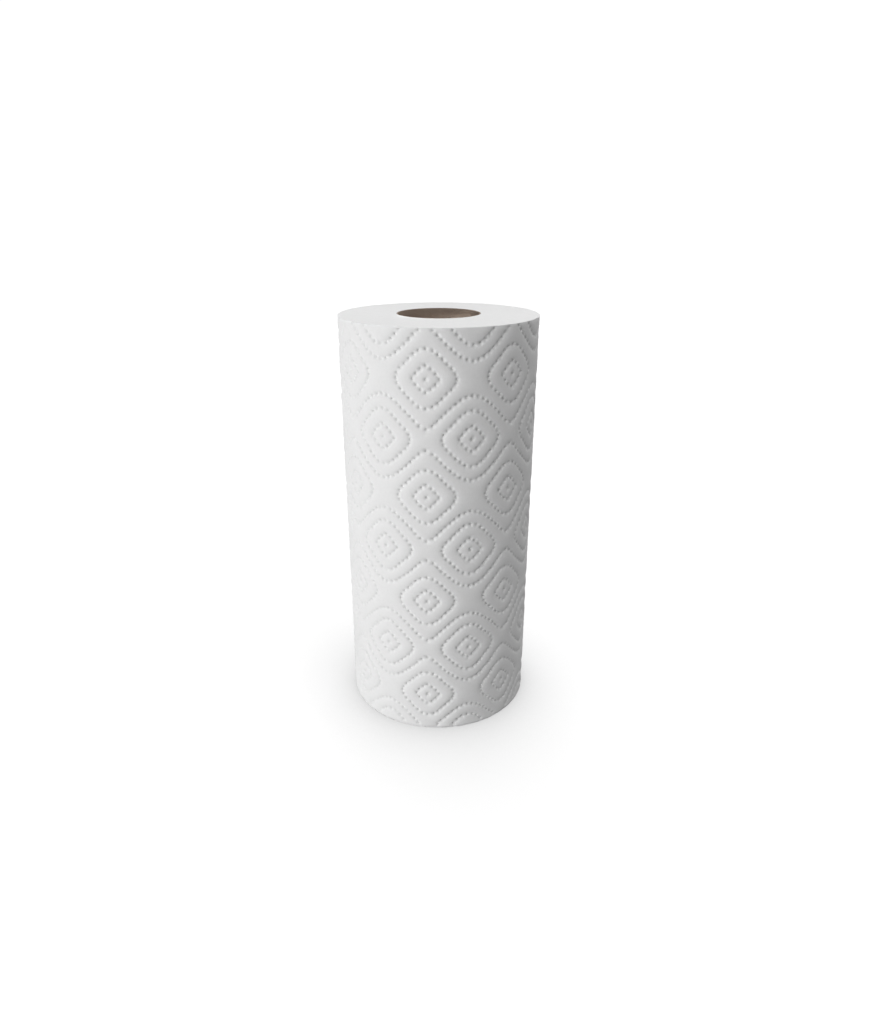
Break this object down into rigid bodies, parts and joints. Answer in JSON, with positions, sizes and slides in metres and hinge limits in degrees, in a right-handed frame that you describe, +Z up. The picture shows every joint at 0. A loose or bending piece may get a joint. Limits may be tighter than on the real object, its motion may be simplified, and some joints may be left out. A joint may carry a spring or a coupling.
{
  "type": "paper towel roll",
  "caption": "Standing kitchen paper roll: soft white web with pressed dot relief, wound on an open cardboard tube.",
  "frame": {"origin": "the roll's axis at its bottom end, so that the roll stands on z = 0", "axes": "+Z up along the axis of the tube; the front that the picture shows is -Y and +X is to its right; the tail edge and the perforation are round the back"},
  "size_m": [0.1051, 0.1049, 0.225],
  "materials": {
    "paper": "matte",
    "cardboard": "matte"
  },
  "bodies": {
    "root": {"paper_roll": "paper", "core_tube": "cardboard"}
  },
  "joints": []
}
